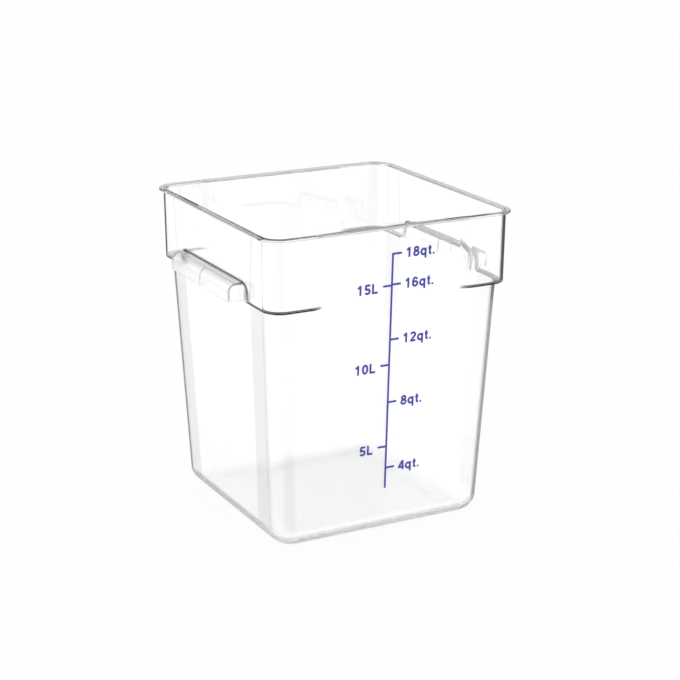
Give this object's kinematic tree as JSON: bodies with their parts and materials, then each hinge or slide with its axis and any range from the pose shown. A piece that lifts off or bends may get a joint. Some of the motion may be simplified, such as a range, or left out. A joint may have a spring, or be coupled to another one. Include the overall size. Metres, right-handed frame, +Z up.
{
  "type": "food storage container",
  "caption": "Clear square food storage container, open at the top, with tapered body, wide collar, thin rim, moulded finger grips and a blue printed volume scale.",
  "frame": {"origin": "middle of the underside, on the plane the container stands on", "axes": "+Z up, the printed scale faces -Y, the finger grips are at -X and +X"},
  "size_m": [0.2978, 0.28, 0.326],
  "materials": {
    "clear_plastic": "clear, glossy moulded polycarbonate",
    "blue_ink": "opaque printed ink"
  },
  "bodies": {
    "root": {"container": "clear_plastic", "volume_scale": "blue_ink"}
  },
  "joints": []
}
